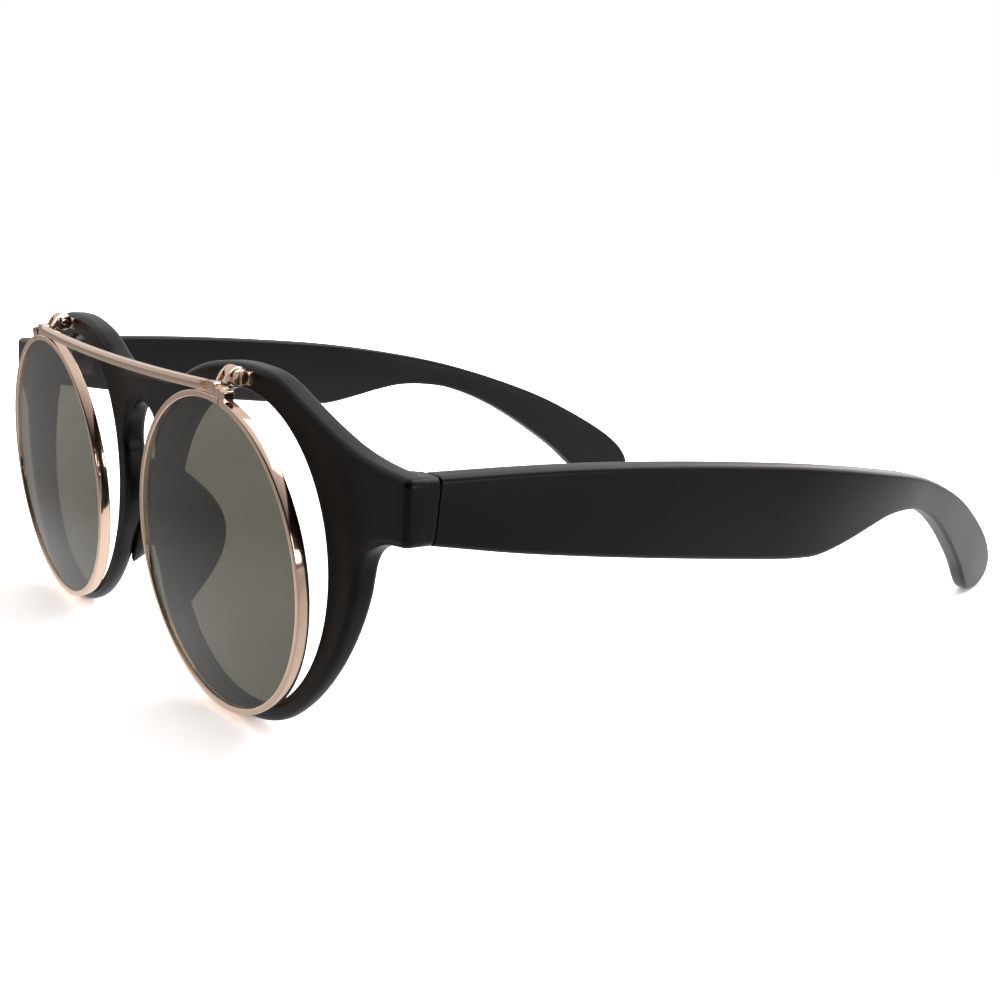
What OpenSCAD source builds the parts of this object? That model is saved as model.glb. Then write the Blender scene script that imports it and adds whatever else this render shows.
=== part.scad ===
// Round flip-up sunglasses: a moulded front with clear lenses, two temples on
// screwed hinges, and a metal front with tinted lenses that flips up on two
// small hinges above the rims. X runs across the face, the lenses face -Y, the
// temples run back along +Y, and the glasses stand on their rims and temple
// tips at Z = 0. The origin is below the middle of the bounding box.

/* [Moulded front] */
// Distance between the two lens centres
rim_spacing = 65.3; // [62:0.1:70]
// Diameter of each lens opening
opening_d = 47; // [44:0.5:49]
// Width of the rim at its bottom
rim_w = 2.7; // [2.2:0.1:3.4]
// Width that the rim gains at its outer side
rim_side_w = 3.3; // [2:0.1:4]
// Thickness from front face to back face
front_t = 3.8; // [3.6:0.1:4.4]
// Thickness at the bottom of the rims
low_t = 3.3; // [3.1:0.1:3.6]
// Radius of the softened edges
edge_r = 1; // [0.5:0.1:1.3]
// Radius of the back edge at the bottom of the rims
back_r = 2; // [1:0.1:2.3]
// Overall width across the end pieces
front_w = 145.8; // [142:0.2:152]
// Height of the brow above the lens centres
brow_z = 27.1; // [26.6:0.1:28.5]
// Height of the top of the bridge above the lens centres
bridge_z = 21.4; // [20:0.1:22.5]
// Height of the top of the keyhole above the lens centres
arch_z = 16.3; // [14.5:0.1:17]
// Width of the round top of the keyhole
keyhole_w = 13.4; // [11:0.1:14.5]
// Width of the nose gap at its narrowest
nose_w = 10.6; // [9:0.1:12]
// Height of the top of the end pieces above the lens centres
end_z = 18.1; // [17:0.1:19]
// Height of an end piece
end_h = 9; // [8:0.1:10]
// Angle that each rim is turned back from the middle
wrap = 3.4; // [3:0.1:4]

/* [Nose pads] */
// Length of a moulded nose pad
pad_l = 20; // [16:0.5:22]
// How far a nose pad stands behind the front
pad_out = 6.2; // [4:0.1:7]

/* [Clear lenses] */
// Thickness of a clear lens
lens_t = 1.8; // [1.4:0.1:2.2]
// Depth of the lens groove
groove_d = 0.7; // [0.4:0.1:0.9]
// Rise of a lens from its edge to its middle
lens_rise = 0.6; // [0.2:0.1:1]

/* [Temples] */
// Length of a temple from its hinge joint to its tip
temple_l = 151.8; // [142:0.2:158]
// Thickness of a temple in front
temple_t = 4.2; // [3.6:0.1:5]
// Thickness of a temple at its tip
tip_t = 3.2; // [2.6:0.1:3.8]
// Depth of the wide middle of a temple
temple_h = 14.4; // [13:0.1:16]
// Depth of a temple at the neck, in front of the ear bend
neck_h = 6.2; // [5:0.1:8]
// How far the tip of a temple hangs below its front top corner
ear_drop = 22.9; // [20:0.1:25]
// Angle that the temples slope down from square with the front
temple_slope = 5.3; // [3:0.1:8]
// Length of the straight part, before the temple bends inward
straight_l = 62; // [50:1:75]
// Radius of the inward bend
bend_r = 110; // [90:1:140]
// Angle of the inward bend
bend_a = 21; // [15:0.5:25]
// Angle that the temples spread outward from the hinges
splay = 4; // [2:0.1:6]

/* [Temple hinges] */
// How far the end pieces stand behind the front, up to the joint
end_back = 1.2; // [0.8:0.1:1.4]
// Outer diameter of the hinge barrel
barrel_d = 3.2; // [2.8:0.1:3.6]
// Height of the hinge barrel
barrel_h = 6.6; // [5.6:0.1:7]
// Diameter of the hinge screw
hinge_screw_d = 1.3; // [1:0.1:1.6]
// Tilt of the joint between end piece and temple, top backwards
joint_tilt = 4; // [0:0.5:6]
// Length of a hinge leaf behind its barrel
leaf_l = 9; // [7:0.5:11]
// Thickness of a hinge leaf
leaf_t = 1; // [0.8:0.1:1.3]

/* [Flip front] */
// Outer diameter of a metal rim
flip_d = 48; // [45:0.5:49]
// Width of a metal rim, seen from the front
flip_w = 1; // [0.8:0.1:1.4]
// Depth of a metal rim from front to back
flip_depth = 1.9; // [1.6:0.1:2.4]
// Clearance between the foot of a metal rim and the moulded front
flip_clear = 0.25; // [0.2:0.05:0.8]
// How far the metal rims hang below the lens centres
flip_drop = 0.7; // [0.5:0.1:1]
// Angle that the metal front leans forward at its top
flip_lean = 4.7; // [4:0.1:6]
// Angle that each metal rim is turned back from the middle
flip_wrap = 2.2; // [2:0.1:3.2]
// Thickness of a tinted lens
tint_t = 1.2; // [0.8:0.1:1.4]
// Height of the brow bar
bar_h = 1.55; // [1.2:0.05:2]
// Depth of the brow bar from front to back
bar_t = 1.2; // [0.9:0.1:1.6]
// How far the brow bar bows forward in the middle
bar_bow = 1.25; // [0.5:0.05:2]
// How far the brow bar dips in the middle
bar_dip = 0.5; // [0:0.05:1]

/* [Flip hinges] */
// Distance of each flip hinge from the middle
flip_hinge_x = 34.5; // [32:0.1:36]
// Height of the flip hinge axis above the lens centres
flip_axis_z = 25.6; // [25.2:0.1:26]
// Distance of the flip hinge axis in front of the moulded front
flip_axis_y = 2.1; // [1.9:0.05:2.4]
// Outer diameter of the flip hinge eyes
eye_d = 2.9; // [2.5:0.1:3]
// Width of the fixed middle eye
eye_w = 1.1; // [0.9:0.1:1.4]
// Width of each arm eye beside it
fork_w = 0.7; // [0.5:0.1:0.9]
// Diameter of the flip hinge screw
flip_screw_d = 1; // [0.8:0.1:1.2]

/* [Hidden] */

plastic = [0.11, 0.10, 0.11];
clear = [0.85, 0.88, 0.88, 0.35];
tint = [0.28, 0.28, 0.24, 0.6];
rose_gold = [0.80, 0.58, 0.48];
steel = [0.55, 0.53, 0.52];

seat = 0.03;     // clearance of an inlaid piece in its pocket
run_gap = 0.08;  // gap between pieces that turn past each other
joint_gap = 0.15;  // gap between a temple and its end piece
lens_in = 0.75;  // depth of a clear lens edge behind the front plane

rim_x = rim_spacing / 2;
half_w = front_w / 2;
open_r = opening_d / 2;
rim_r = open_r + rim_w;
flip_r = flip_d / 2;
end_low = end_z - end_h;

function arc(cx, cz, r, a0, a1, n) = [for (i = [0 : n])
  let (a = a0 + (a1 - a0) * i / n) [cx + r * cos(a), cz + r * sin(a)]];
function unit(v) = v / norm(v);
// A curve through all but the first and last points, which only guide its ends
function curve(p, steps) = [
  for (i = [1 : len(p) - 3], s = [0 : steps - 1])
    let (u = s / steps, a = p[i - 1], b = p[i], c = p[i + 1], d = p[i + 2])
    0.5 * (2 * b + (c - a) * u + (2 * a - 5 * b + 4 * c - d) * u * u
      + (3 * b - a - 3 * c + d) * u * u * u)];

// Outline of the moulded front, left half, clockwise from the bridge's top to
// the keyhole's top, as [x, z] from the middle of the lens line
brow_rise = brow_z - bridge_z;
corner_r = 1.2;
key_r = keyhole_w / 2;
key_z = arch_z - key_r;
key_a = -25;       // angle at which the keyhole's round top begins
side_a = -60;      // angle below which the rim has its least side width
thin = 0.8;        // how much narrower the rim is at its very bottom
nose_a = -158;     // angle at which the rim runs into the nose gap
function rim_out(a) =
  let (u = min(1, max(0, (side_a + 5 - a) / 30)))
    rim_r + rim_side_w * pow(max(0, (a - side_a) / -side_a), 2.2)
      - thin * u * u * (3 - 2 * u);
function rim_point(a) = [rim_x + rim_out(a) * cos(a), rim_out(a) * sin(a)];
function key_point(a) = [key_r * cos(a), key_z + key_r * sin(a)];

top_curve = curve([
  [-rim_x / 4, bridge_z],
  [0, bridge_z],
  [rim_x - 23.4, bridge_z + 0.02 * brow_rise],
  [rim_x - 18.8, bridge_z + 0.24 * brow_rise],
  [rim_x - 15.5, bridge_z + 0.51 * brow_rise],
  [rim_x - 10.9, bridge_z + 0.78 * brow_rise],
  [rim_x - 4, brow_z - 0.15],
  [rim_x + 2, brow_z],
  [rim_x + 8, brow_z - 0.65],
  [rim_x + 15, brow_z - 3.3],
  [rim_x + 20.7, brow_z - 5.5],
  [rim_x + 26.3, end_z + 1.7],
  [rim_x + 32, end_z + 0.6],
  [half_w - corner_r, end_z],
  [half_w, end_z]], 3);
under_curve = curve([
  [half_w, end_low],
  [half_w - corner_r, end_low],
  [half_w - 5, end_low - 0.5],
  [half_w - 8.3, end_low - 2.1],
  rim_point(8.5),
  rim_point(0),
  rim_point(-6)], 3);
nose_curve = curve([
  rim_point(nose_a + 6),
  rim_point(nose_a),
  [nose_w / 2 + 1, -4.4],
  [nose_w / 2, 0.6],
  key_point(key_a),
  key_point(key_a + 12)], 3);
half_outline = concat(
  top_curve,
  arc(half_w - corner_r, end_z - corner_r, corner_r, 90, 0, 3),
  arc(half_w - corner_r, end_low + corner_r, corner_r, 0, -60, 2),
  under_curve,
  [for (i = [0 : 14]) rim_point(-6 * i)],
  [for (i = [0 : 11]) rim_point(-90 + (nose_a + 90) * i / 12)],
  nose_curve,
  [for (i = [0 : 9]) key_point(key_a + (90 - key_a) * i / 9)]);
half_n = len(half_outline);
outline = concat(half_outline,
  [for (i = [half_n - 2 : -1 : 1]) [-half_outline[i][0], half_outline[i][1]]]);
outline_n = len(outline);
under_from = len(top_curve) + 7;
rim_from = under_from + len(under_curve);
// Bearing from the lens centre of each outline point, and of the point of the
// lens hole that it is joined to, which runs on evenly past hollow corners
function bearing(i) = let (p = half_outline[i] - [rim_x, 0])
  let (a = atan2(p[1], p[0])) (i > rim_from && a > 0) ? a - 360 : a;
key_from = half_n - 10;
rays = concat([[0, 117]],
  [for (i = [12 : 27]) [i, bearing(i)]],
  [[under_from, 33], [rim_from - 3, bearing(rim_from - 3)]],
  [for (i = [rim_from : key_from]) [i, bearing(i)]],
  [[half_n - 1, -241]]);
function ray(i) = lookup(i, rays);

// Front surface: each half turned back from the middle, blended at the bridge
blend = 6;
function face_y(x) =
  tan(wrap) * (sqrt(x * x + blend * blend) - sqrt(rim_x * rim_x + blend * blend));

// Thickness and back edge radius at height z: thinner and rounder low down
function low_share(z) = let (u = min(1, max(0, (6 - z) / 26))) u * u * (3 - 2 * u);
function depth_at(z) = front_t + (low_t - front_t) * low_share(z);
function back_edge(z) = edge_r + (back_r - edge_r) * low_share(z);
edge_steps = 3;
layer_n = 2 * edge_steps + 2;
// Inset and depth of layer l of the section at height z
function layer(l, z) = let (front = l <= edge_steps,
    a = 90 * (front ? l : layer_n - 1 - l) / edge_steps,
    r = front ? edge_r : back_edge(z),
    d = r * (1 - cos(a)))
  [r * (1 - sin(a)), front ? d : depth_at(z) - d];
function normal_at(i) = let (
  a = outline[(i + outline_n - 1) % outline_n], b = outline[(i + 1) % outline_n],
  t = unit(b - a)) [-t[1], t[0]];
hole_r = open_r - 4;
function shell_point(p, d) = [p[0], face_y(p[0]) + d, p[1]];
function hole_point(s, i, d) = let (x = rim_x + hole_r * cos(ray(i)))
  [s * x, face_y(x) + d, hole_r * sin(ray(i))];
shell_points = concat(
  [for (l = [0 : layer_n - 1], i = [0 : outline_n - 1])
    let (v = layer(l, outline[i][1]))
    shell_point(outline[i] - normal_at(i) * v[0], v[1])],
  [for (s = [1, -1], back = [0, 1], i = [0 : half_n - 1])
    hole_point(s, i, back * depth_at(hole_r * sin(ray(i))))]);
// Corners of the outline and of a lens hole by number: side, back or front
function out_id(s, back, i) = let (k = i % half_n)
  (back ? (layer_n - 1) * outline_n : 0)
    + (s > 0 ? k : (outline_n - k) % outline_n);
function hole_id(s, back, i) = layer_n * outline_n
  + (s > 0 ? 0 : 2 * half_n) + (back ? half_n : 0) + i % half_n;
function quad(a, b, c, d, flip) =
  flip ? [[a, c, b], [a, d, c]] : [[a, b, c], [a, c, d]];
shell_faces = concat(
  [for (l = [0 : layer_n - 2], i = [0 : outline_n - 1],
    q = quad(l * outline_n + i, l * outline_n + (i + 1) % outline_n,
      (l + 1) * outline_n + (i + 1) % outline_n, (l + 1) * outline_n + i, true)) q],
  [for (s = [1, -1], back = [false, true], i = [0 : half_n - 1],
    q = quad(out_id(s, back, i), out_id(s, back, i + 1),
      hole_id(s, back, i + 1), hole_id(s, back, i), (s > 0) == back)) q],
  [for (s = [1, -1], i = [0 : half_n - 1],
    q = quad(hole_id(s, false, i), hole_id(s, false, i + 1),
      hole_id(s, true, i + 1), hole_id(s, true, i), s < 0)) q]);

// Joint between end piece and temple: its height is measured at the top
hinge_y = face_y(half_w) + front_t + end_back;
hinge_in = temple_t + barrel_d / 2 + 0.1;
knuckle_h = 0.32 * barrel_h;
barrel_z = -end_h / 2;
leaf_h = 0.7 * barrel_h;
// Frame of a hinge: the axis is local Z and runs halfway up through the joint
module hinge_frame() {
  translate([half_w - hinge_in, hinge_y + barrel_z * tan(joint_tilt), end_z])
    children();
}

// Temple, in its own frame: t runs back along it from the joint, n up from its
// front top corner, and i inward from its outer face
mid_top = 3.8;
mid_low = mid_top - temple_h;
neck_n = -0.5;
function stretched(p) = [for (q = p) [q[0] * temple_l, q[1]]];
top_line = curve(stretched([
  [-0.13, -2.2], [0, 0], [0.13, 0.5 * mid_top], [0.26, 0.81 * mid_top],
  [0.39, 0.98 * mid_top], [0.47, mid_top], [0.55, mid_top - 0.35],
  [0.634, neck_n + neck_h / 2], [0.706, -ear_drop * -0.044],
  [0.778, -ear_drop * 0.057], [0.837, -ear_drop * 0.166],
  [0.895, -ear_drop * 0.314], [0.948, -ear_drop * 0.48],
  [0.979, -ear_drop * 0.62], [0.995, -ear_drop * 0.745],
  [1, -ear_drop * 0.8], [1.001, -ear_drop * 0.9]]), 4);
low_line = curve(stretched([
  [-0.1, -end_h + 1], [0, -end_h], [0.105, mid_low + 0.6], [0.242, mid_low + 0.05],
  [0.39, mid_low - 0.1], [0.445, mid_low + 0.1], [0.471, mid_low + 0.6],
  [0.51, mid_low + 2.4], [0.549, mid_low + 4.5], [0.588, neck_n - neck_h / 2 - 0.7],
  [0.627, neck_n - neck_h / 2], [0.667, neck_n - neck_h / 2 - 0.1],
  [0.706, neck_n - neck_h / 2 - 1.3], [0.745, -ear_drop * 0.3],
  [0.784, -ear_drop * 0.415], [0.83, -ear_drop * 0.58], [0.869, -ear_drop * 0.738],
  [0.902, -ear_drop * 0.905], [0.922, -ear_drop * 0.98], [0.945, -ear_drop],
  [0.971, -ear_drop * 0.975], [0.988, -ear_drop * 0.918],
  [1, -ear_drop * 0.83], [1.001, -ear_drop * 0.8]]), 4);
bend_t = bend_r * sin(bend_a);
function inset(t) = t <= straight_l ? 0
  : t <= straight_l + bend_t ? bend_r - sqrt(pow(bend_r, 2) - pow(t - straight_l, 2))
  : bend_r * (1 - cos(bend_a)) + (t - straight_l - bend_t) * tan(bend_a);
stations = 46;
function station_t(k) = temple_l * (1 - pow(1 - k / stations, 1.5));
// Thickness, thinner toward the tip and rounded off at its end
function thick(t) = temple_t - (temple_t - tip_t) * pow(max(0, 2 * t / temple_l - 1), 1);
function end_share(t) = sqrt(1 - pow(max(0, 1 - (temple_l - t + 0.15) / 1.5), 2));
// Where the front end of the temple meets the joint
function joint_t(n, i) = (joint_gap / 2 + n * (tan(joint_tilt) * cos(temple_slope)
    - sin(temple_slope) * cos(splay)) - i * sin(splay))
  / (cos(temple_slope) * cos(splay) + sin(temple_slope) * tan(joint_tilt));
// One rounded section as [t, n, i]
function section(k) = let (
  t = station_t(k), top = lookup(t, top_line), low = lookup(t, low_line),
  w = thick(t) * end_share(t), a = inset(t) + (thick(t) - w) / 2, b = a + w,
  r = 0.9 * min(1, (top - low) / 2, w / 2), ease = max(0, 1 - t / 12))
  [for (c = [[a + r, top - r, 180], [b - r, top - r, 90],
      [b - r, low + r, 0], [a + r, low + r, -90]], j = [0 : 3])
    let (i = c[0] + r * cos(c[2] - 30 * j), n = c[1] + r * sin(c[2] - 30 * j))
    [t + ease * joint_t(n, i), n, i]];
module temple_frame() {
  translate([half_w, hinge_y, end_z])
    rotate([0, 0, -splay])
      rotate([-temple_slope, 0, 0])
        children();
}
// Height above and distance behind the lens line of a point of the temple
function behind(p) = hinge_y + p[2] * sin(splay)
  + (p[0] * cos(temple_slope) + p[1] * sin(temple_slope)) * cos(splay);
function above(p) = end_z - p[0] * sin(temple_slope) + p[1] * cos(temple_slope);

// The glasses stand on the back edge of the rims and on the temple tips
ear_points = [for (k = [round(stations * 0.6) : stations], p = section(k)) p];
foot_y = low_t - back_r;
foot_r = rim_out(-90);
stand_a = min([for (p = ear_points) atan2(above(p) + foot_r, behind(p) - foot_y)]);
lens_z = foot_r * cos(stand_a) + foot_y * sin(stand_a);
back_y = max([for (p = ear_points)
  behind(p) * cos(stand_a) + above(p) * sin(stand_a)]);

// Brow bar and flip hinges, from the metal rims
flip_gap = flip_clear + flip_depth + flip_r * sin(flip_lean);
flip_top_z = flip_r * cos(flip_lean) - flip_drop;
flip_top_y = -flip_gap - flip_r * sin(flip_lean);
bar_z = flip_top_z + 0.2 + bar_h / 2;
bar_y = flip_top_y + bar_t / 2 - 0.3;
bar_end = flip_hinge_x - eye_w / 2 - run_gap - fork_w;
dip_a = atan2(bar_dip, bar_bow);
bar_sag = norm([bar_bow, bar_dip]);
bar_r = (bar_end * bar_end + bar_sag * bar_sag) / (2 * bar_sag);
front_y = (bar_y - bar_bow - bar_t / 2) * cos(stand_a)
  + (bar_z - bar_dip - bar_h / 4) * sin(stand_a);
mid_y = (front_y + back_y) / 2;

module place(side) {
  translate([0, -mid_y, lens_z])
    rotate([-stand_a, 0, 0])
      mirror([side < 0 ? 1 : 0, 0, 0])
        children();
}
// Frame of a lens opening: local Z points forward from the front plane
module opening_frame() {
  translate([rim_x, 0, 0])
    rotate([90, 0, wrap])
      children();
}
// Frame of a metal rim: local Z points forward from its front
module rim_frame() {
  translate([rim_x, -flip_gap, -flip_drop])
    rotate([0, 0, flip_wrap])
      rotate([90 + flip_lean, 0, 0])
        children();
}
module both() {
  children();
  mirror([1, 0, 0]) children();
}
// A lens with its edge plane at z = 0, front side up
module lens(r, t, lip, rise) {
  n = 8;
  rotate_extrude($fn = 96)
    polygon(concat(
      [for (k = [0 : n]) let (x = (r - lip) * k / n)
        [x, rise * (1 - pow(k / n, 2))]],
      [[r, 0], [r, -t], [r - lip, -t]],
      [for (k = [n - 1 : -1 : 0]) let (x = (r - lip) * k / n)
        [x, rise * (1 - pow(k / n, 2)) - t]]));
}

// Moulded front
module end_block() {
  w = temple_t - 0.05;
  r = corner_r;
  h = end_h - 0.04;
  y0 = face_y(half_w) + front_t / 2;
  translate([half_w - 0.02, y0 + 4, end_low + 0.02])
    rotate([90, 0, 0])
      linear_extrude(4)
        union() {
          translate([-w, 0]) square([w - r, h]);
          translate([-r - 0.01, r]) square([r + 0.01, h - 2 * r]);
          translate([-r, r]) circle(r, $fn = 48);
          translate([-r, h - r]) circle(r, $fn = 48);
        }
}
// A pad is a loft of half-flat ovals that follows the rim beside the nose gap
pad_n = 20;
pad_rows = 14;
pad_w = 2.1;
function pad_point(k, j) = let (u = 0.98 * (2 * k / pad_rows - 1),
    z = u * pad_l / 2 - 3, w = sqrt(1 - pow(abs(u), 2.4)), a = 360 * j / pad_n,
    back = (sin(a) > 0 ? pad_out + 1 : 1.2) * w * sin(a))
  [nose_w / 2 + 2.4 + 0.028 * pow(min(0, z + 1), 2) + pad_w * w * cos(a)
    + 0.2 * max(0, back), front_t - 1 + back, z];
module nose_pad() {
  polyhedron(
    [for (k = [0 : pad_rows], j = [0 : pad_n - 1]) pad_point(k, j)],
    concat([[for (j = [0 : pad_n - 1]) j]],
      [for (k = [0 : pad_rows - 1], j = [0 : pad_n - 1],
        q = quad(k * pad_n + j, k * pad_n + (j + 1) % pad_n,
          (k + 1) * pad_n + (j + 1) % pad_n, (k + 1) * pad_n + j, true)) q],
      [[for (j = [pad_n - 1 : -1 : 0]) pad_rows * pad_n + j]]));
}
module lug_foot(extra) {
  translate([flip_hinge_x - eye_w / 2 - 0.6 - extra, -0.5, flip_axis_z - 1.3 - extra])
    cube([eye_w + 1.2 + 2 * extra, 1.5 + extra, 1.9 + 2 * extra]);
}
module frame_plate(extra) {
  hinge_frame()
    translate([-8 - extra, -barrel_d / 2 - 0.4 - extra, barrel_z - leaf_h / 2 - extra])
      cube([8 + extra, leaf_t + 2 * extra, leaf_h + 2 * extra]);
}
// The lens bore, with softened edges and the groove that holds the lens
module lens_bore() {
  o = open_r;
  e = 0.4;
  g = o + groove_d;
  front = -lens_in + seat;
  back = -lens_in - lens_t - seat;
  rotate_extrude($fn = 96)
    polygon([[0, 4], [o + e + 4, 4], [o, -e], [o, front], [g, front], [g, back],
      [o, back], [o, -9], [0, -9]]);
}
module front_frame() {
  color(plastic) place(1) difference() {
    union() {
      polyhedron(shell_points, shell_faces);
      both() end_block();
      both() nose_pad();
    }
    both() {
      opening_frame() lens_bore();
      translate([half_w, hinge_y, end_z]) rotate([-joint_tilt, 0, 0])
        translate([-8, -joint_gap / 2, -20]) cube([12, 12, 30]);
      hinge_frame() translate([0, 0, barrel_z])
        cylinder(d = barrel_d + 0.2, h = barrel_h + 2, center = true, $fn = 48);
      frame_plate(seat);
      lug_foot(seat);
    }
  }
}
module clear_lens(s) {
  color(clear) place(s) opening_frame()
    translate([0, 0, -lens_in])
      lens(open_r + groove_d - 0.05, lens_t, groove_d + 0.2, lens_rise);
}

// Temple hinges: two knuckles stand on the front, one on the temple
module knuckle(z, h) {
  translate([0, 0, z]) cylinder(d = barrel_d, h = h, $fn = 48);
}
module hinge_bore() {
  translate([0, 0, barrel_z])
    cylinder(d = hinge_screw_d + 0.1, h = barrel_h + 4, center = true, $fn = 48);
}
module frame_hinge_leaf(s) {
  low = barrel_z - barrel_h / 2;
  color(steel) place(s) difference() {
    union() {
      hinge_frame() {
        knuckle(low, knuckle_h);
        knuckle(low + barrel_h - knuckle_h, knuckle_h);
      }
      frame_plate(0);
    }
    hinge_frame() {
      hinge_bore();
      translate([0, 0, low + knuckle_h])
        cylinder(d = barrel_d + 2 * run_gap, h = barrel_h - 2 * knuckle_h, $fn = 48);
    }
  }
}
module temple_plate(extra) {
  temple_frame()
    translate([-temple_t - leaf_t / 2 - extra, 0.6, barrel_z - leaf_h / 2 - extra])
      cube([leaf_t + 2 * extra, leaf_l + extra, leaf_h + 2 * extra]);
}
module temple_hinge_leaf(s) {
  low = barrel_z - barrel_h / 2;
  color(steel) place(s) difference() {
    union() {
      hinge_frame()
        knuckle(low + knuckle_h + run_gap, barrel_h - 2 * (knuckle_h + run_gap));
      temple_plate(0);
    }
    hinge_frame() {
      hinge_bore();
      for (z = [low - 3, low + barrel_h - knuckle_h])
        translate([0, 0, z - (z < low ? 0 : run_gap)])
          cylinder(d = barrel_d + 2 * run_gap, h = knuckle_h + 3 + run_gap, $fn = 48);
    }
  }
}
module hinge_screw(s) {
  top = barrel_z + barrel_h / 2;
  color(steel) place(s) hinge_frame() difference() {
    union() {
      translate([0, 0, top - barrel_h]) cylinder(d = hinge_screw_d, h = barrel_h + 0.2, $fn = 48);
      translate([0, 0, top + 0.02]) cylinder(d = barrel_d - 0.5, h = 0.6, $fn = 48);
    }
    translate([-2, -0.15, top + 0.35]) cube([4, 0.3, 1]);
  }
}
module temple(s) {
  n = 16;
  color(plastic) place(s) difference() {
    temple_frame()
      polyhedron(
        [for (k = [0 : stations], p = section(k)) [-p[2], p[0], p[1]]],
        concat([[for (j = [n - 1 : -1 : 0]) j]],
          [for (k = [0 : stations - 1], j = [0 : n - 1],
            q = quad(k * n + j, k * n + (j + 1) % n,
              (k + 1) * n + (j + 1) % n, (k + 1) * n + j, false)) q],
          [[for (j = [0 : n - 1]) stations * n + j]]));
    temple_plate(seat);
  }
}

// Metal front
close_a = 11;
module at_close() {
  rim_frame() rotate([0, 0, -close_a]) translate([0, flip_r, -flip_depth / 2])
    children();
}
module flip_rim(s) {
  g = tint_t / 2 + 0.03;
  c = 0.25;
  color(rose_gold) place(s) difference() {
    union() {
      rim_frame() translate([0, 0, -flip_depth / 2]) rotate_extrude($fn = 96)
        polygon([[flip_r - flip_w, -flip_depth / 2], [flip_r - c, -flip_depth / 2],
          [flip_r, -flip_depth / 2 + c], [flip_r, flip_depth / 2 - c],
          [flip_r - c, flip_depth / 2], [flip_r - flip_w, flip_depth / 2],
          [flip_r - flip_w, g], [flip_r - flip_w / 2, g],
          [flip_r - flip_w / 2, -g], [flip_r - flip_w, -g]]);
      at_close() translate([-1.3, -flip_w / 4, -flip_depth / 2 + 0.05])
        cube([2.6, 1.7, flip_depth - 0.1]);
    }
    at_close() {
      translate([-0.1, -3, -3]) cube([0.2, 8, 6]);
      translate([0, 0.75, 0]) rotate([0, 90, 0])
        cylinder(d = 0.8, h = 6, center = true, $fn = 32);
    }
  }
}
module rim_lock_screw(s) {
  color(steel) place(s) at_close() translate([0, 0.75, 0]) rotate([0, 90, 0])
    difference() {
      union() {
        translate([0, 0, -1.3]) cylinder(d = 0.74, h = 2.7, $fn = 32);
        translate([0, 0, 1.32]) cylinder(d = 1.3, h = 0.4, $fn = 32);
      }
      translate([-2, -0.12, 1.52]) cube([4, 0.24, 1]);
    }
}
module flip_lens(s) {
  color(tint) place(s) rim_frame() translate([0, 0, -(flip_depth - tint_t) / 2])
    lens(flip_r - flip_w / 2 - 0.03, tint_t, flip_w / 2 + 0.15, 0.6);
}
module brow_bar() {
  h = bar_h / 2;
  t = bar_t / 2;
  color(rose_gold) place(1) intersection() {
    translate([0, bar_y, bar_z])
      rotate([dip_a, 0, 0])
        translate([0, bar_r - bar_sag, 0])
          rotate([0, 0, -90 - 6])
            rotate_extrude(angle = 12, $fn = 720)
              translate([bar_r, 0]) rotate(dip_a)
                polygon([[-t, -h], [t - 0.35, -h], [t, -h / 2],
                  [t, h / 2], [t - 0.35, h], [-t, h]]);
    translate([-bar_end + 0.02, bar_y - 9, bar_z - 9])
      cube([2 * bar_end - 0.04, 18, 18]);
  }
}
// One side of an arm: a strap rolled over the eye, down to the block
module cheek_shape() {
  r = eye_d / 2;
  y = -flip_axis_y;
  z = flip_axis_z;
  translate([y, z]) circle(r, $fn = 48);
  polygon(concat(
    curve([[y + 1, z + r], [y, z + r - 0.01], [y - 0.7, z + r - 0.25],
      [y - 1.5, z + 0.55], [y - 2.2, bar_z + 0.7], [bar_y + 0.9, bar_z + 0.35],
      [bar_y + 0.1, bar_z + 0.3], [bar_y - 0.6, bar_z + 0.3]], 3),
    [[bar_y + 0.1, bar_z - 0.7]],
    curve([[bar_y - 0.6, bar_z - 1.3], [bar_y + 0.9, bar_z - 0.75], [y - 2.2, bar_z - 0.35],
      [y - 1.2, z - 1], [y - 0.4, z - r + 0.08], [y + 1, z - r]], 3),
    [[y, z - r + 0.1]]));
}
module flip_arm(s) {
  w = eye_w + 2 * (run_gap + fork_w);
  color(rose_gold) place(s) difference() {
    union() {
      for (x = [-w / 2, w / 2 - fork_w])
        translate([flip_hinge_x + x, 0, 0])
          rotate([90, 0, 90]) linear_extrude(fork_w) cheek_shape();
      translate([flip_hinge_x - w / 2, bar_y - 0.05, flip_top_z - 1])
        cube([w, 1.5, 1.2 + bar_h]);
    }
    translate([flip_hinge_x, -flip_axis_y, flip_axis_z]) rotate([0, 90, 0])
      cylinder(d = flip_screw_d + 0.04, h = 9, center = true, $fn = 32);
    rim_frame() translate([0, 0, -6]) cylinder(r = flip_r + 0.01, h = 12, $fn = 96);
  }
}
module flip_hinge_base(s) {
  color(rose_gold) place(s) difference() {
    union() {
      translate([flip_hinge_x - eye_w / 2, -flip_axis_y, flip_axis_z]) rotate([0, 90, 0])
        cylinder(d = eye_d, h = eye_w, $fn = 48);
      translate([flip_hinge_x - eye_w / 2, -flip_axis_y, flip_axis_z - 1])
        cube([eye_w, flip_axis_y, 1.3]);
      lug_foot(0);
    }
    translate([flip_hinge_x, -flip_axis_y, flip_axis_z]) rotate([0, 90, 0])
      cylinder(d = flip_screw_d + 0.1, h = 9, center = true, $fn = 32);
  }
}
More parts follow.
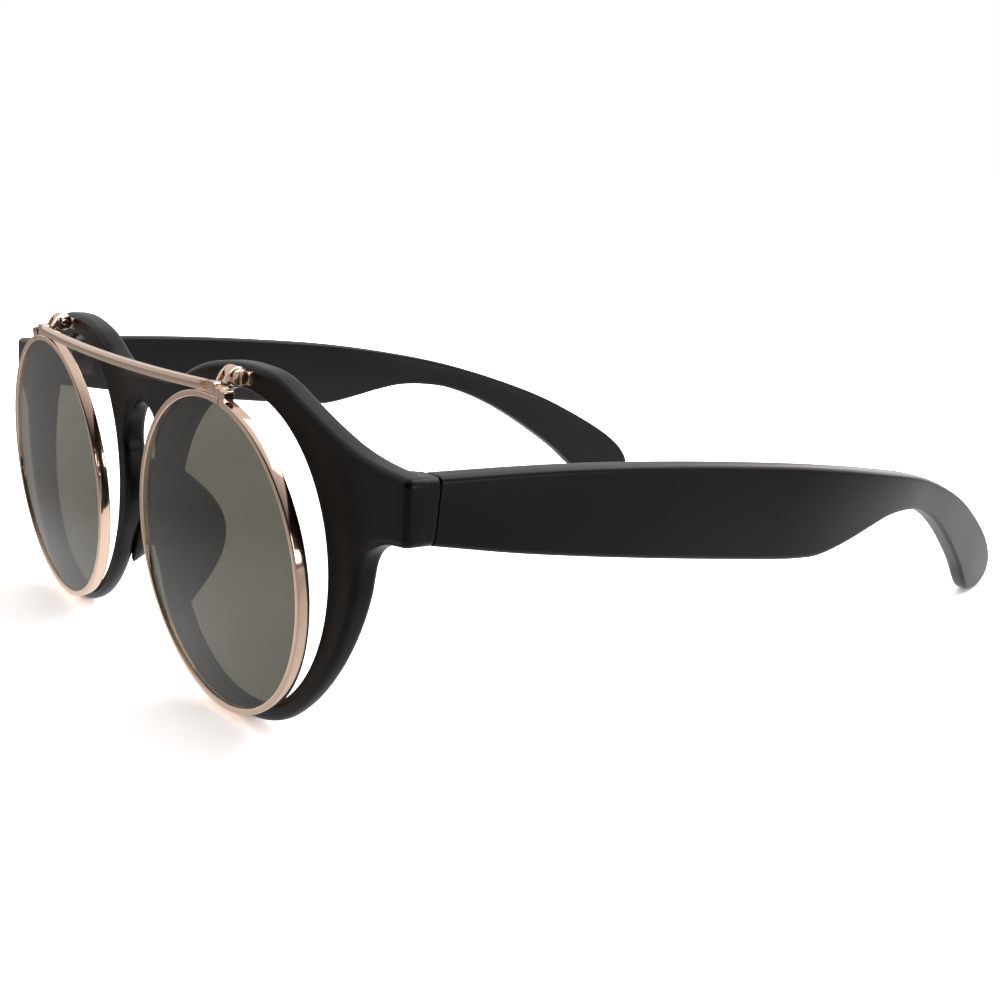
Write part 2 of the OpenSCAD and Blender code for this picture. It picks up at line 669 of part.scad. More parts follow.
module flip_pivot_screw(s) {
  w = eye_w / 2 + run_gap + fork_w;
  color(rose_gold) place(s)
    translate([flip_hinge_x, -flip_axis_y, flip_axis_z]) rotate([0, 90, 0])
      difference() {
        union() {
          translate([0, 0, -w - 0.3]) cylinder(d = flip_screw_d, h = 2 * w + 0.5, $fn = 32);
          translate([0, 0, w + 0.02]) cylinder(d = eye_d - 0.5, h = 0.55, $fn = 32);
        }
        translate([-2, -0.15, w + 0.32]) cube([4, 0.3, 1]);
      }
}

front_frame();
clear_lens(-1);  // clear_lens_right
clear_lens(1);  // clear_lens_left
frame_hinge_leaf(-1);  // frame_hinge_leaf_right
frame_hinge_leaf(1);  // frame_hinge_leaf_left
hinge_screw(-1);  // hinge_screw_right
hinge_screw(1);  // hinge_screw_left
flip_hinge_base(-1);  // flip_hinge_base_right
flip_hinge_base(1);  // flip_hinge_base_left
temple(-1);  // temple_right
temple(1);  // temple_left
temple_hinge_leaf(-1);  // temple_hinge_leaf_right
temple_hinge_leaf(1);  // temple_hinge_leaf_left
flip_rim(-1);  // flip_rim_right
flip_rim(1);  // flip_rim_left
flip_lens(-1);  // flip_lens_right
flip_lens(1);  // flip_lens_left
brow_bar();
flip_arm(-1);  // flip_arm_right
flip_arm(1);  // flip_arm_left
flip_pivot_screw(-1);  // flip_pivot_screw_right
flip_pivot_screw(1);  // flip_pivot_screw_left
rim_lock_screw(-1);  // rim_lock_screw_right
rim_lock_screw(1);  // rim_lock_screw_left
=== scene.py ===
"""Round flip-up sunglasses standing open on a pale floor, the metal front down."""

import math

import bmesh
import bpy
import numpy as np
from mathutils import Matrix, Vector


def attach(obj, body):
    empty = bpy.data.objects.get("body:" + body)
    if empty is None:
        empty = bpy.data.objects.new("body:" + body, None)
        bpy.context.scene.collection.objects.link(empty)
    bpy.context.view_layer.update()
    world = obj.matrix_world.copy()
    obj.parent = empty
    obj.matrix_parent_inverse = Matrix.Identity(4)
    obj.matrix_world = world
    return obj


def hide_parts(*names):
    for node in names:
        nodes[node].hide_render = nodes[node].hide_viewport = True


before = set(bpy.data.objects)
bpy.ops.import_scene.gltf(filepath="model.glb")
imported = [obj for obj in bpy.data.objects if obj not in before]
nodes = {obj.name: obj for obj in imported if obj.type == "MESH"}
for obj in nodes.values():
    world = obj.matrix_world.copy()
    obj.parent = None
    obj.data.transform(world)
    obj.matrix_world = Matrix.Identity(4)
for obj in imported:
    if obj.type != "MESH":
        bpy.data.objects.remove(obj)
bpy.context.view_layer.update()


# The photograph's viewpoint: a camera some 230 mm from the bridge, out beyond the
# wearer's left temple, in front of the lenses and above them. Its place, axes and
# lens are those that fit the rims, the temples and the end pieces in the picture.
camera = bpy.data.objects.new("camera", bpy.data.cameras.new("camera"))
bpy.context.collection.objects.link(camera)
camera.data.sensor_width = 36.0
camera.data.lens = 48.354
stand = math.radians(2.83959)
lens_line = Vector((0.0, -0.0755687, 0.0254332))
fitted_lean = math.radians(2.06)


def from_front(v):
    """A direction or point measured from the lens line, turned as the glasses stand."""
    return Matrix.Rotation(fitted_lean - stand, 3, "X") @ Vector(v)


right = from_front((0.60368, 0.79632, 0.03799)).normalized()
back = from_front((0.76815, -0.59375, 0.23961)).normalized()
up = back.cross(right)
viewpoint = lens_line + from_front((0.20588, -0.08560, 0.055355))
turned = Matrix((right, up, back)).transposed().to_4x4()
camera.matrix_world = Matrix.Translation(viewpoint) @ turned
camera.data.clip_start = 0.01
camera.data.clip_end = 20.0
bpy.context.scene.camera = camera
bpy.context.scene.view_settings.view_transform = "Standard"


# A pale studio table: one large sheet of paper, over-exposed to the camera, so that
# only the closest shadows of the glasses show on it. Seen through a tinted lens it
# is nearly white, and one strip of it is a painted reflection that glows only to glossy
# rays, for polished metal to mirror.
def node_tree(material):
    material.use_nodes = True
    tree = material.node_tree
    tree.nodes.clear()
    return tree, tree.nodes, tree.links


def combined(tree, how, a, b):
    """A Math node on two outputs."""
    node = tree.nodes.new("ShaderNodeMath")
    node.operation = how
    tree.links.new(a, node.inputs[0])
    tree.links.new(b, node.inputs[1])
    return node.outputs[0]


def ramped(tree, value, low, high, start, end, ease="SMOOTHSTEP"):
    """The value's share between low and high, run from start to end."""
    node = tree.nodes.new("ShaderNodeMapRange")
    node.interpolation_type = ease
    for label, number in (
        ("From Min", low), ("From Max", high), ("To Min", start), ("To Max", end),
    ):
        node.inputs[label].default_value = number
    tree.links.new(value, node.inputs["Value"])
    return node.outputs[0]


def reach(tree, source, direction):
    """How far a place or a direction goes the given way."""
    node = tree.nodes.new("ShaderNodeVectorMath")
    node.operation = "DOT_PRODUCT"
    node.inputs[1].default_value = direction
    tree.links.new(source, node.inputs[0])
    return node.outputs["Value"]


table_half = 9.0
ways = ((-1, -1), (1, -1), (1, 1), (-1, 1))
corners = [(x * table_half, y * table_half, 0) for x, y in ways]
floor_mesh = bpy.data.meshes.new("table_sheet")
floor_mesh.from_pydata(corners, [], [(0, 1, 2, 3)])
floor = bpy.data.objects.new("table_sheet", floor_mesh)
bpy.context.collection.objects.link(floor)
paper = bpy.data.materials.new("white_paper")
tree, n, links = node_tree(paper)
out = n.new("ShaderNodeOutputMaterial")
plain = n.new("ShaderNodeBsdfDiffuse")
plain.inputs["Color"].default_value = (0.50, 0.495, 0.49, 1)
exposed = n.new("ShaderNodeBsdfDiffuse")
exposed.inputs["Color"].default_value = (3.2, 3.2, 3.2, 1)
glow = n.new("ShaderNodeEmission")
glow.inputs["Color"].default_value = (1, 1, 1, 1)
rays = n.new("ShaderNodeLightPath")
spot = n.new("ShaderNodeTexCoord").outputs["Object"]
far = n.new("ShaderNodeVectorMath")
far.operation = "LENGTH"
links.new(spot, far.inputs[0])
# The sheet shines of itself away from the glasses, in metres from the origin
near_by, far_off = 0.10, 0.22
to_eye = ramped(tree, far.outputs["Value"], near_by, far_off, 0.08, 1.05)
to_eye = combined(tree, "MULTIPLY", rays.outputs["Is Camera Ray"], to_eye)
to_lens = ramped(tree, far.outputs["Value"], near_by, far_off, 0.72, 1.05, "LINEAR")
to_lens = combined(tree, "MULTIPLY", rays.outputs["Is Transmission Ray"], to_lens)
# A painted reflection: a strip under and behind the glasses, as the camera looks, glows
# for glossy rays alone
depth = ramped(tree, reach(tree, spot, (-0.79, 0.61, 0)), -0.16, 0.0, 0.0, 0.85)
across = reach(tree, spot, (0.61, 0.79, 0))
reflection_strip = combined(tree, "MULTIPLY", depth, ramped(tree, across, -0.15, -0.06, 0.0, 1.0))
reflection_strip = combined(tree, "MULTIPLY", reflection_strip, ramped(tree, across, 0.13, 0.30, 1.0, 0.0))
# The painted reflection's glow is seen in reflections only
painted_reflection = combined(tree, "MULTIPLY", reflection_strip, rays.outputs["Is Glossy Ray"])
brightest = combined(tree, "MAXIMUM", to_eye, to_lens)
brightest = combined(tree, "MAXIMUM", brightest, painted_reflection)
links.new(brightest, glow.inputs["Strength"])
sheet = n.new("ShaderNodeMixShader")
links.new(rays.outputs["Is Camera Ray"], sheet.inputs[0])
links.new(plain.outputs[0], sheet.inputs[1])
links.new(exposed.outputs[0], sheet.inputs[2])
lit = n.new("ShaderNodeAddShader")
links.new(sheet.outputs[0], lit.inputs[0])
links.new(glow.outputs[0], lit.inputs[1])
links.new(lit.outputs[0], out.inputs["Surface"])
floor_mesh.materials.append(paper)


# Soft studio light: three large panels, one high behind the glasses, one at their
# near side and one low behind their far side. The world is white to the eye and
# through a lens, and lights the glasses from behind more than from in front.
def panel(name, place, aim, size, power, colour):
    light = bpy.data.lights.new(name, "AREA")
    light.shape = "RECTANGLE"
    light.size, light.size_y = size
    light.energy = power
    light.color = colour
    obj = bpy.data.objects.new(name, light)
    bpy.context.collection.objects.link(obj)
    obj.location = place
    facing = Vector(aim) - Vector(place)
    obj.rotation_euler = facing.to_track_quat("-Z", "Y").to_euler()


panel("top_panel", (0, 0.75, 1.0), (0, 0, 0), (1.0, 0.7), 4.5, (1, 0.97, 0.98))
panel("side_panel", (1.1, 0.2, 0.25), (0, 0, 0.02), (0.7, 0.35), 2.5, (1, 0.94, 0.97))
panel("far_panel", (-0.2, 1.1, 0.35), (0, 0.1, 0.02), (1.0, 0.5), 5.0, (1, 0.94, 0.98))

world = bpy.data.worlds.new("studio")
bpy.context.scene.world = world
world.use_nodes = True
tree = world.node_tree
tree.nodes.clear()
n, links = tree.nodes, tree.links
out = n.new("ShaderNodeOutputWorld")
eye = n.new("ShaderNodeBackground")
eye.inputs["Color"].default_value = (1, 1, 1, 1)
eye.inputs["Strength"].default_value = 1.0
room = n.new("ShaderNodeBackground")
room.inputs["Strength"].default_value = 0.75
direction = n.new("ShaderNodeTexCoord")
toward = reach(tree, direction.outputs["Generated"], (-0.68, 0.62, 0.40))
spread = ramped(tree, toward, -0.25, 0.60, 0.0, 1.0, "LINEAR")
shade = n.new("ShaderNodeValToRGB")
shade.color_ramp.elements[0].color = (0.03, 0.028, 0.028, 1)
shade.color_ramp.elements[1].color = (0.98, 0.96, 0.96, 1)
links.new(spread, shade.inputs["Fac"])
links.new(shade.outputs["Color"], room.inputs["Color"])
rays = n.new("ShaderNodeLightPath")
seen = combined(
    tree, "MAXIMUM", rays.outputs["Is Camera Ray"], rays.outputs["Is Transmission Ray"]
)
pick = n.new("ShaderNodeMixShader")
links.new(seen, pick.inputs[0])
links.new(room.outputs[0], pick.inputs[1])
links.new(eye.outputs[0], pick.inputs[2])
links.new(pick.outputs[0], out.inputs["Surface"])


# The moulded front: one thick piece of black injection moulded plastic with both
# rims, the keyhole bridge, the nose pads and the end pieces, tumbled until its
# edges are soft. It is lofted here finely from the outline that its solid has.
mm = 0.001
# Sizes are in millimetres, about the line through the lens centres
spacing, opening_r, wrap = 65.3, 23.5, math.radians(3.4)
rim_x, half_w, end_z, end_h, front_t = spacing / 2, 72.9, 18.1, 9.0, 3.8
brow_z, bridge_z, arch_z, key_r, nose_w = 27.1, 21.4, 16.3, 6.7, 10.6
end_low, key_z, corner_r, edge_r = end_z - end_h, arch_z - key_r, 1.2, 1.0
groove_d, groove_front, groove_back, bore_soft = 0.7, 0.72, 2.58, 0.4
joint_gap, lean = 0.075, math.radians(4)
crease = math.radians(38)
fine = 4


def smooth_line(points, steps):
    """A smooth line through all but the first and last points."""
    p = np.array(points, float)
    u = (np.arange(steps) / steps)[:, None]
    runs = []
    for a, b, c, d in zip(p, p[1:], p[2:], p[3:]):
        runs.append(
            0.5
            * (
                2 * b
                + (c - a) * u
                + (2 * a - 5 * b + 4 * c - d) * u**2
                + (3 * b - a - 3 * c + d) * u**3
            )
        )
    return np.vstack(runs)


def arc(cx, cz, r, a0, a1, steps):
    a = np.radians(np.linspace(a0, a1, steps + 1))
    return np.c_[cx + r * np.cos(a), cz + r * np.sin(a)]


def rim_out(a):
    """Radius of the rim's outer edge at bearing a, in degrees."""
    plain_r, wider, thinner = 26.2, 3.3, 0.8
    low = np.clip((-55 - np.asarray(a, float)) / 30, 0, 1)
    side = np.clip((np.asarray(a, float) + 60) / 60, 0, None)
    return plain_r + wider * side**2.2 - thinner * low * low * (3 - 2 * low)


def rim_point(a):
    r = rim_out(a)
    return np.array([rim_x + r * np.cos(np.radians(a)), r * np.sin(np.radians(a))]).T


def key_point(a):
    a = math.radians(a)
    return (key_r * math.cos(a), key_z + key_r * math.sin(a))


rise = brow_z - bridge_z
pieces = [
    smooth_line(
        [
            (-rim_x / 4, bridge_z), (0, bridge_z),
            (rim_x - 23.4, bridge_z + 0.02 * rise), (rim_x - 18.8, bridge_z + 0.24 * rise),
            (rim_x - 15.5, bridge_z + 0.51 * rise), (rim_x - 10.9, bridge_z + 0.78 * rise),
            (rim_x - 4, brow_z - 0.15), (rim_x + 2, brow_z), (rim_x + 8, brow_z - 0.65),
            (rim_x + 15, brow_z - 3.3), (rim_x + 20.7, brow_z - 5.5),
            (rim_x + 26.3, end_z + 1.7), (rim_x + 32, end_z + 0.6),
            (half_w - corner_r, end_z), (half_w, end_z),
        ],
        3 * fine,
    ),
    arc(half_w - corner_r, end_z - corner_r, corner_r, 90, 0, 3 * fine),
    arc(half_w - corner_r, end_low + corner_r, corner_r, 0, -60, 2 * fine),
    smooth_line(
        [
            (half_w, end_low), (half_w - corner_r, end_low), (half_w - 5, end_low - 0.5),
            (half_w - 8.3, end_low - 2.1), rim_point(8.5), rim_point(0), rim_point(-6),
        ],
        3 * fine,
    ),
    rim_point(np.linspace(0, -84, 14 * fine + 1)),
    rim_point(np.linspace(-90, -152.333, 11 * fine + 1)),
    smooth_line(
        [
            rim_point(-152), rim_point(-158), (nose_w / 2 + 1, -4.4), (nose_w / 2, 0.6),
            key_point(-25), key_point(-13),
        ],
        3 * fine,
    ),
    arc(0, key_z, key_r, -25, 90, 9 * fine),
]
outline = np.vstack(pieces)
# Each outline point is joined to a point of the opening's edge at its own bearing
step, number = [], 0.0
for k, piece in enumerate(pieces):
    step.append(number + np.arange(len(piece)) / fine)
    number = math.floor(step[-1][-1] + 1 + 1e-6)
step = np.concatenate(step)
coarse = np.array([np.interp(q, step, outline[:, 0]) for q in range(101)])
coarse = np.c_[coarse, [np.interp(q, step, outline[:, 1]) for q in range(101)]]
bearing = np.degrees(np.arctan2(coarse[:, 1], coarse[:, 0] - rim_x))
bearing[(np.arange(101) > 55) & (bearing > 0)] -= 360
anchors = [0, *range(12, 28), 43, 52, *range(55, 92), 100]
turns = [117, *bearing[12:28], 33, bearing[52], *bearing[55:92], -241]
ray = np.radians(np.interp(step, anchors, turns))


def face_y(x):
    """Front surface: each half turned back from the middle, blended at the bridge."""
    return math.tan(wrap) * (np.hypot(x, 6) - math.hypot(rim_x, 6))


def low_share(z):
    u = np.clip((6 - z) / 26, 0, 1)
    return u * u * (3 - 2 * u)


def depth_at(z):
    return front_t - 0.5 * low_share(z)


ahead = np.roll(outline, -1, 0)
ahead[-1] = outline[-2] * (-1, 1)
behind = np.roll(outline, 1, 0)
behind[0] = outline[1] * (-1, 1)
tangent = ahead - behind
tangent /= np.linalg.norm(tangent, axis=1)[:, None]
inward = np.c_[tangent[:, 1], -tangent[:, 0]]


def edge_ring(r, a, depth):
    """A ring round the opening, at radius r and that depth behind the face."""
    x = rim_x + r * np.cos(a) * math.cos(wrap) - depth * math.sin(wrap)
    return np.c_[x, face_y(x) + depth, r * np.sin(a)]


# Rings run from the back of the lens groove, out of the bore, over the face, round
# the outer edge and back over the rear to the bore
rings = []
groove_r = opening_r + groove_d
for r, d in (
    (opening_r, groove_back), (groove_r, groove_back), (groove_r, groove_front),
    (opening_r, groove_front), (opening_r, bore_soft),
):
    rings.append(edge_ring(r, ray, np.full(len(ray), d)))
for k in range(1, 5):
    a = math.radians(22.5 * k)
    r = opening_r + bore_soft * (1 - math.cos(a))
    rings.append(edge_ring(r, ray, np.full(len(ray), bore_soft * (1 - math.sin(a)))))
hole = rings[-1]
inset = outline + inward * edge_r
for share in np.arange(1, 12) / 12:
    x = hole[:, 0] * (1 - share) + inset[:, 0] * share
    z = hole[:, 2] * (1 - share) + inset[:, 1] * share
    rings.append(np.c_[x, face_y(x), z])
first_outer = len(rings)
z = outline[:, 1]
front_r = np.full(len(z), edge_r)
back_r = edge_r + low_share(z)
for front in (True, False):
    for k in range(7):
        a = math.radians(15 * (k if front else 6 - k))
        r = front_r if front else back_r
        moved = outline + inward * (r * (1 - math.sin(a)))[:, None]
        d = r * (1 - math.cos(a))
        d = d if front else depth_at(z) - d
        rings.append(np.c_[moved[:, 0], face_y(moved[:, 0]) + d, moved[:, 1]])
last_outer = len(rings) - 1
rim_back = edge_ring(opening_r, ray, depth_at(opening_r * np.sin(ray)))
inset = rings[-1]
for share in np.arange(1, 12) / 12:
    x = inset[:, 0] * (1 - share) + rim_back[:, 0] * share
    z = inset[:, 2] * (1 - share) + rim_back[:, 2] * share
    rings.append(np.c_[x, face_y(x) + depth_at(z), z])
rings.append(rim_back)
rings = np.array(rings)


class Sheet:
    """Points and faces gathered into one closed mesh."""

    def __init__(self):
        self.points, self.faces = [], []

    def grid(self, rows, skip=(), close=True, side=1):
        """Faces between rows of points; a closed grid's last row joins its first."""
        base = len(self.points)
        rows = np.asarray(rows, float)
        count, wide = rows.shape[:2]
        for row in rows:
            self.points.extend((side * p[0], p[1], p[2]) for p in row)
        for k in range(count if close else count - 1):
            m = (k + 1) % count
            for q in range(wide):
                if q == wide - 1 and k in skip:
                    continue
                w = (q + 1) % wide
                here, there = base + k * wide, base + m * wide
                f = [here + q, here + w, there + w, there + q]
                self.faces.append(f if side > 0 else f[::-1])

    def made(self, name):
        mesh = bpy.data.meshes.new(name)
        mesh.from_pydata(self.points, [], self.faces)
        work = bmesh.new()
        work.from_mesh(mesh)
        bmesh.ops.remove_doubles(work, verts=work.verts, dist=0.0005)
        for v in work.verts:
            v.co = placed(v.co)
        bmesh.ops.recalc_face_normals(work, faces=work.faces)
        work.to_mesh(mesh)
        work.free()
        obj = bpy.data.objects.new(name, mesh)
        bpy.context.collection.objects.link(obj)
        for polygon in mesh.polygons:
            polygon.use_smooth = True
        mesh.set_sharp_from_angle(angle=crease)
        return obj


def placed(v):
    """From millimetres about the lens line to the table's metres."""
    return lens_line + Matrix.Rotation(-stand, 3, "X") @ (Vector(v) * mm)


shell = Sheet()
outer = set(range(first_outer, last_outer))
for side in (1, -1):
    shell.grid(rings, skip=outer, side=side)
# End pieces run back to the joint, which leans while the hinge axis stays upright
slant = math.tan(lean)
hinge_y = float(face_y(half_w)) + front_t + 1.2
end_deep, end_flat, end_r, sunk, end_run = 4.15, 2.5, 1.2, 0.02, 3.2
round_x = half_w - end_r - sunk
profile = np.vstack(
    [
        [(half_w - end_deep, end_z - sunk), (half_w - end_flat, end_z - sunk)],
        arc(round_x, end_z - end_r - sunk, end_r, 90, 0, 10),
        arc(round_x, end_low + end_r + sunk, end_r, 0, -90, 10),
        [(half_w - end_flat, end_low + sunk), (half_w - end_deep, end_low + sunk)],
    ]
)
middle = profile.mean(0)
inner_y = np.full(len(profile), hinge_y - end_run)
for side in (1, -1):
    closed = middle + (profile - middle) * 0.001
    rows = [
        np.c_[closed[:, 0], inner_y, closed[:, 1]],
        np.c_[profile[:, 0], inner_y, profile[:, 1]],
    ]
    for trim, gap in (
        (0.0, 0.22), (0.01, 0.12), (0.035, joint_gap), (0.5, joint_gap),
        (0.999, joint_gap),
    ):
        q = middle + (profile - middle) * (1 - trim)
        rows.append(np.c_[q[:, 0], hinge_y - gap + (q[:, 1] - end_z) * slant, q[:, 1]])
    shell.grid(rows, close=False, side=side)
# Nose pads: half ovals that stand behind the rims beside the nose gap
pad_half, pad_mid, pad_deep, pad_wide, pad_root = 10.6, -3.6, 7.35, 2.1, 1.2
pad_x, pad_flare, pad_splay = 7.7, 0.028, 0.2
turn = np.radians(np.arange(0, 360, 7.5))
pad_rows = []
for u in np.linspace(-0.995, 0.995, 45):
    zc, w = u * pad_half + pad_mid, math.sqrt(1 - abs(u) ** 2.4)
    deep = np.where(np.sin(turn) > 0, pad_deep * (1 - u * u) ** 1.1, pad_root * w)
    out_by = deep * np.sin(turn)
    x = pad_x + pad_flare * min(0, zc + 1) ** 2 + pad_wide * w * np.cos(turn)
    x = x + pad_splay * np.maximum(0, out_by)
    pad_rows.append(np.c_[x, front_t - 1 + out_by, np.full(len(turn), zc)])
ends = [np.repeat(pad_rows[k].mean(0)[None], len(turn), 0) for k in (0, -1)]
for side in (1, -1):
    shell.grid([ends[0], *pad_rows, ends[1]], close=False, side=side)

black = bpy.data.materials.new("black_moulded_plastic")
tree, n, links = node_tree(black)
out = n.new("ShaderNodeOutputMaterial")
skin = n.new("ShaderNodeBsdfPrincipled")
skin.inputs["Specular IOR Level"].default_value = 0.28
place = n.new("ShaderNodeTexCoord")
cloud = n.new("ShaderNodeTexNoise")
cloud.inputs["Scale"].default_value = 45.0
cloud.inputs["Detail"].default_value = 3.0
links.new(place.outputs["Object"], cloud.inputs["Vector"])
tone = n.new("ShaderNodeValToRGB")
tone.color_ramp.elements[0].color = (0.0028, 0.0023, 0.0025, 1)
tone.color_ramp.elements[1].color = (0.0050, 0.0042, 0.0045, 1)
links.new(cloud.outputs["Fac"], tone.inputs["Fac"])
links.new(tone.outputs["Color"], skin.inputs["Base Color"])
gloss = n.new("ShaderNodeMapRange")
gloss.inputs["To Min"].default_value = 0.30
gloss.inputs["To Max"].default_value = 0.40
links.new(cloud.outputs["Fac"], gloss.inputs["Value"])
links.new(gloss.outputs[0], skin.inputs["Roughness"])
grain = n.new("ShaderNodeTexNoise")
grain.inputs["Scale"].default_value = 2600.0
grain.inputs["Detail"].default_value = 2.0
links.new(place.outputs["Object"], grain.inputs["Vector"])
bump = n.new("ShaderNodeBump")
bump.inputs["Strength"].default_value = 0.10
bump.inputs["Distance"].default_value = 0.00003
links.new(grain.outputs["Fac"], bump.inputs["Height"])
links.new(bump.outputs["Normal"], skin.inputs["Normal"])
links.new(skin.outputs[0], out.inputs["Surface"])

front = shell.made("moulded_front")
front.data.materials.append(black)
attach(front, "front")
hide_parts("front_frame")


# The temples: one moulded arm each side, of the same black plastic, butted
# against the end pieces and bent down and inward behind the ear. The far one's
# inner side stays bare.
length, mid_top, drop = 151.8, 3.8, 22.9
slope, splay = math.radians(5.3), math.radians(4)
mid_low, neck = mid_top - 14.4, (-0.5 + 3.1, -0.5 - 3.1)
top_line = smooth_line(
    [
        (-0.13, -2.2), (0, 0), (0.13, 0.5 * mid_top), (0.26, 0.81 * mid_top),
        (0.39, 0.98 * mid_top), (0.47, mid_top), (0.55, mid_top - 0.35), (0.634, neck[0]),
        (0.706, 0.044 * drop), (0.778, -0.057 * drop), (0.837, -0.166 * drop),
        (0.895, -0.314 * drop), (0.948, -0.48 * drop), (0.979, -0.62 * drop),
        (0.995, -0.745 * drop), (1, -0.8 * drop), (1.001, -0.9 * drop),
    ],
    16,
)
low_line = smooth_line(
    [
        (-0.1, 1 - end_h), (0, -end_h), (0.105, mid_low + 0.6), (0.242, mid_low + 0.05),
        (0.39, mid_low - 0.1), (0.445, mid_low + 0.1), (0.471, mid_low + 0.6),
        (0.51, mid_low + 2.4), (0.549, mid_low + 4.5), (0.588, neck[1] - 0.7),
        (0.627, neck[1]), (0.667, neck[1] - 0.1), (0.706, neck[1] - 1.3),
        (0.745, -0.3 * drop), (0.784, -0.415 * drop), (0.83, -0.58 * drop),
        (0.869, -0.738 * drop), (0.902, -0.905 * drop), (0.922, -0.98 * drop),
        (0.945, -drop), (0.971, -0.975 * drop), (0.988, -0.918 * drop),
        (1, -0.83 * drop), (1.001, -0.8 * drop),
    ],
    16,
)
bend_r, bend_a, straight = 110.0, math.radians(21), 62.0
bend_t = bend_r * math.sin(bend_a)


def inset_at(t):
    """How far the outer face has come inward, t behind the joint."""
    if t <= straight:
        return 0.0
    if t <= straight + bend_t:
        return bend_r - math.sqrt(bend_r**2 - (t - straight) ** 2)
    return bend_r * (1 - math.cos(bend_a)) + (t - straight - bend_t) * math.tan(bend_a)


def joint_t(up_by, in_by):
    """Where the temple's front end meets the slanted joint."""
    return (
        joint_gap
        + up_by * (slant * math.cos(slope) - math.sin(slope) * math.cos(splay))
        - in_by * math.sin(splay)
    ) / (math.cos(slope) * math.cos(splay) + math.sin(slope) * slant)


arm_t, tip_thinner, tip_round, tip_blunt, arm_edge = 4.2, 1.0, 1.5, 0.15, 0.9
joint_run, slices, lip_trim = 12, 180, 0.12
sections = []
for k in range(slices + 1):
    t = length * (1 - (1 - k / slices) ** 1.5)
    top = np.interp(t / length, top_line[:, 0], top_line[:, 1])
    low = np.interp(t / length, low_line[:, 0], low_line[:, 1])
    full = arm_t - tip_thinner * max(0, 2 * t / length - 1)
    w = full * math.sqrt(1 - max(0, 1 - (length - t + tip_blunt) / tip_round) ** 2)
    a = inset_at(t) + (full - w) / 2
    r = arm_edge * min(1, (top - low) / 2, w / 2)
    ease = max(0, 1 - t / joint_run)
    row = []
    for i0, n0, start in (
        (a + r, top - r, 180), (a + w - r, top - r, 90),
        (a + w - r, low + r, 0), (a + r, low + r, -90),
    ):
        for j in range(7):
            turn = math.radians(start - 15 * j)
            i, up_by = i0 + r * math.cos(turn), n0 + r * math.sin(turn)
            row.append((t + ease * joint_t(up_by, i), up_by, i))
    sections.append(row)
sections = np.array(sections)
# The front end is trimmed a little all round, so that its edge shines as a moulded
# one does
lip = sections[0].copy()
lip[:, 1:] = lip[:, 1:].mean(0) + (lip[:, 1:] - lip[:, 1:].mean(0)) * (0.97, 0.93)
sections[0][:, 0] += lip_trim
mouth, tip = (np.repeat(row.mean(0)[None], len(lip), 0) for row in (lip, sections[-1]))
caps = [mouth, lip, *sections, tip]
for side, name in ((-1, "temple_right"), (1, "temple_left")):
    arm = Sheet()
    rows = []
    for row in caps:
        t, up_by, i = row[:, 0], row[:, 1], row[:, 2]
        behind_by = t * math.cos(slope) + up_by * math.sin(slope)
        rows.append(
            np.c_[
                half_w - i * math.cos(splay) + behind_by * math.sin(splay),
                hinge_y + i * math.sin(splay) + behind_by * math.cos(splay),
                end_z - t * math.sin(slope) + up_by * math.cos(slope),
            ]
        )
    arm.grid(rows, close=False, side=side)
    obj = arm.made("moulded_" + name)
    obj.data.materials.append(black)
    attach(obj, name)
    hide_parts(name)


# The clear lenses: domed discs of clear plastic, sprung into the groove round
# each opening. Light goes straight through them and their faces shine.
clear = bpy.data.materials.new("clear_lens_plastic")
tree, n, links = node_tree(clear)
out = n.new("ShaderNodeOutputMaterial")
glass = n.new("ShaderNodeBsdfPrincipled")
glass.inputs["Base Color"].default_value = (0.92, 0.94, 0.94, 1)
glass.inputs["Roughness"].default_value = 0.03
glass.inputs["Alpha"].default_value = 0.04
links.new(glass.outputs[0], out.inputs["Surface"])


def turned_disc(where, radius, thick, lip, dome, side):
    """A domed lens whose edge is a plain band, in a frame with its front along Z."""
    worn = 0.05
    flat = radius - lip
    radii = flat * np.sin(np.linspace(0.0001, math.pi / 2, 20))
    heights = dome * (1 - (radii / flat) ** 2)
    profile = [*zip(radii, heights), (radius - worn, 0.0), (radius, -worn)]
    profile += [(radius, -thick + worn), (radius - worn, -thick)]
    profile += [*zip(radii[::-1], heights[::-1] - thick)]
    around = np.linspace(0, 2 * math.pi, 160, endpoint=False)
    rows = []
    for r, h in profile:
        ring = [where @ Vector((r * math.cos(q), r * math.sin(q), h)) for q in around]
        rows.append(np.array(ring))
    disc = Sheet()
    disc.grid(rows, close=False, side=side)
    return disc


opening_at = (
    Matrix.Translation((rim_x, 0, 0))
    @ Matrix.Rotation(wrap, 4, "Z")
    @ Matrix.Rotation(math.radians(90), 4, "X")
)
clear_r, clear_t, clear_lip, dome_h, clear_back = opening_r + 0.65, 1.8, 0.9, 0.6, 0.75
for side, name in ((-1, "clear_lens_right"), (1, "clear_lens_left")):
    seat = opening_at @ Matrix.Translation((0, 0, -clear_back))
    disc = turned_disc(seat, clear_r, clear_t, clear_lip, dome_h, side)
    obj = disc.made("domed_" + name)
    obj.data.materials.append(clear)
    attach(obj, "front")
    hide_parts(name)


